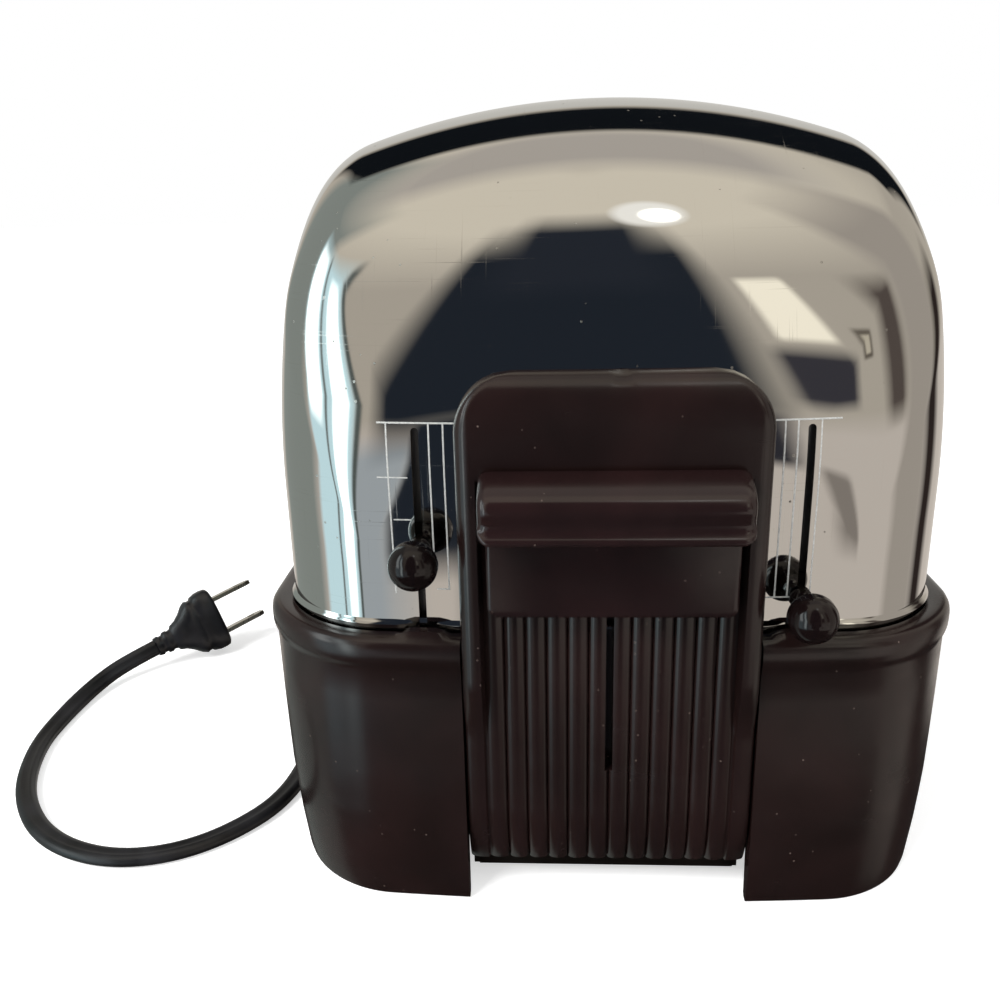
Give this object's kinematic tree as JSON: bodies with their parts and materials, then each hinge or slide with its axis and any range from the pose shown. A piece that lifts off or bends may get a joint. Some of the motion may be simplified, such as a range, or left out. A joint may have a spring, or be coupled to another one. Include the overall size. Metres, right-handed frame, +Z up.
{
  "type": "pop-up toaster",
  "caption": "Pop-up toaster: chrome dome with two bread slots on a dark moulded base, a wide lever at the control end, ball knobs on sliders, crumb tray and cord.",
  "frame": {"origin": "middle of the base's footprint, on the surface it stands on", "axes": "+X to the right as seen from the control end, +Y from the control end to the back, +Z up"},
  "size_m": [0.2567, 0.3678, 0.183],
  "materials": {
    "chrome": "mirror polish with fine scratches",
    "bakelite": "moulded gloss",
    "steel": "plated, dull",
    "plated_sheet": "rolled sheet, satin",
    "mica": "pressed mica sheet",
    "resistance_ribbon": "oxidised ribbon",
    "porcelain": "unglazed",
    "brass": "stamped",
    "cord_rubber": "satin",
    "lead_sleeve": "woven glass sleeve"
  },
  "bodies": {
    "case": {"chrome_shell": "chrome", "base_housing": "bakelite", "front_panel": "bakelite", "guide_rod_left": "steel", "guide_rod_right": "steel", "rod_bracket": "steel", "control_bracket_left": "steel", "control_bracket_right": "steel", "latch_pin": "steel", "latch_post": "steel", "base_screws": "steel", "bread_guard_left_outer": "steel", "bread_guard_left_inner": "steel", "bread_guard_right_inner": "steel", "bread_guard_right_outer": "steel", "base_plate": "plated_sheet", "front_end_plate": "plated_sheet", "rear_end_plate": "plated_sheet", "top_plate": "plated_sheet", "slot_liner_left": "plated_sheet", "slot_liner_right": "plated_sheet", "heat_shield_left": "plated_sheet", "heat_shield_right": "plated_sheet", "tray_rail_left": "plated_sheet", "tray_rail_right": "plated_sheet", "mica_card_left": "mica", "mica_card_centre": "mica", "mica_card_right": "mica", "heater_ribbon_left_outer": "resistance_ribbon", "heater_ribbon_left_inner": "resistance_ribbon", "heater_ribbon_right_inner": "resistance_ribbon", "heater_ribbon_right_outer": "resistance_ribbon", "thermostat_block": "porcelain", "contact_block": "porcelain", "terminal_block": "porcelain", "bimetal_strip": "brass", "contact_blades": "brass", "terminal_screws": "brass", "plug_blades": "brass", "cord_lead": "cord_rubber", "cord_coil": "cord_rubber", "cord_tail": "cord_rubber", "plug_body": "cord_rubber", "strain_relief": "cord_rubber", "supply_leads": "lead_sleeve"},
    "lift": {"lever_handle": "bakelite", "lever_stem": "steel", "lift_carriage": "steel", "bread_rack_left": "steel", "bread_rack_right": "steel", "contact_bridge": "brass", "lift_spring_left": "steel", "lift_spring_right": "steel"},
    "browning": {"browning_knob": "bakelite", "browning_slider": "steel"},
    "mode": {"mode_knob": "bakelite", "mode_slider": "steel"},
    "tray": {"crumb_tray": "plated_sheet"},
    "latch": {"latch_lever": "steel"}
  },
  "joints": [
    {"name": "lever_slide", "type": "slide", "parent": "case", "child": "lift", "axis": [0, 0, -1], "range_m": [0, 0.048], "stiffness_N_per_m": 120, "springref_m": -0.02, "deforming": ["lift_spring_left", "lift_spring_right"]},
    {"name": "browning_slide", "type": "slide", "parent": "case", "child": "browning", "axis": [0, 0, 1], "range_m": [-0.012, 0.02]},
    {"name": "mode_slide", "type": "slide", "parent": "case", "child": "mode", "axis": [0, 0, 1], "range_m": [0, 0.034]},
    {"name": "tray_slide", "type": "slide", "parent": "case", "child": "tray", "axis": [0, -1, 0], "range_m": [0, 0.15]},
    {"name": "latch_hinge", "type": "hinge", "parent": "case", "child": "latch", "pos_m": [0.0375, -0.09875, 0.064], "axis": [0, 1, 0], "range_deg": [0, 6], "stiffness_Nm_per_rad": 0.02, "springref_deg": -5.73}
  ]
}
